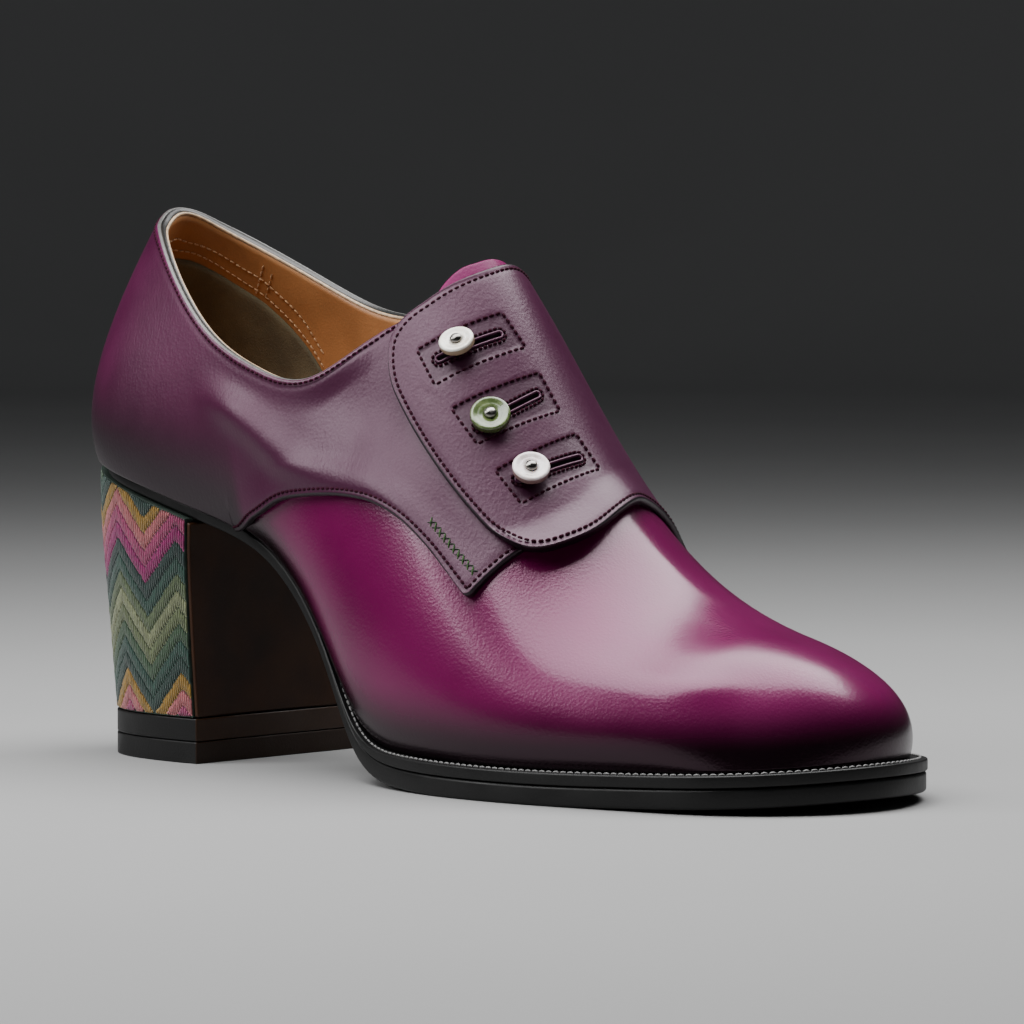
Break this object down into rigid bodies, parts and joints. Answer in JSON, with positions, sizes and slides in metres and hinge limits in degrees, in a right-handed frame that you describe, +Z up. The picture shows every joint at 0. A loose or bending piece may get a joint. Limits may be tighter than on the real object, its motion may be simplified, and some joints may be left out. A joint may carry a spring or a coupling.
{
  "type": "block heel shoe",
  "caption": "Closed women's pump with a wrap-over buttoned instep flap, hollow leather upper, stitched welt and a high covered block heel; right shoe.",
  "frame": {"origin": "On the ground plane, under the middle of the shoe's box in plan", "axes": "+X to the toe, +Y to the inner side of the foot, +Z up"},
  "size_m": [0.2436, 0.0898, 0.1351],
  "materials": {
    "vamp_leather": "glossy magenta, waxed",
    "quarter_leather": "satin plum",
    "lining_leather": "matt tan lining",
    "sole_leather": "black edge dye, satin",
    "heel_cover": "stitched cover in greens and pinks",
    "breast_leather": "dark brown, polished",
    "top_rubber": "matt black",
    "pearl": "pearl white",
    "green_pearl": "pearl green",
    "pin_metal": "polished"
  },
  "bodies": {
    "root": {"upper": "vamp_leather", "lateral_quarter": "quarter_leather", "medial_quarter": "quarter_leather", "tongue": "vamp_leather", "insole": "lining_leather", "welt": "sole_leather", "outsole": "sole_leather", "heel_block": "heel_cover", "heel_breast": "breast_leather", "heel_lift": "sole_leather", "top_piece": "top_rubber", "button_1": "pearl", "button_2": "green_pearl", "button_3": "pearl", "button_pin_1": "pin_metal", "button_pin_2": "pin_metal", "button_pin_3": "pin_metal"}
  },
  "joints": []
}
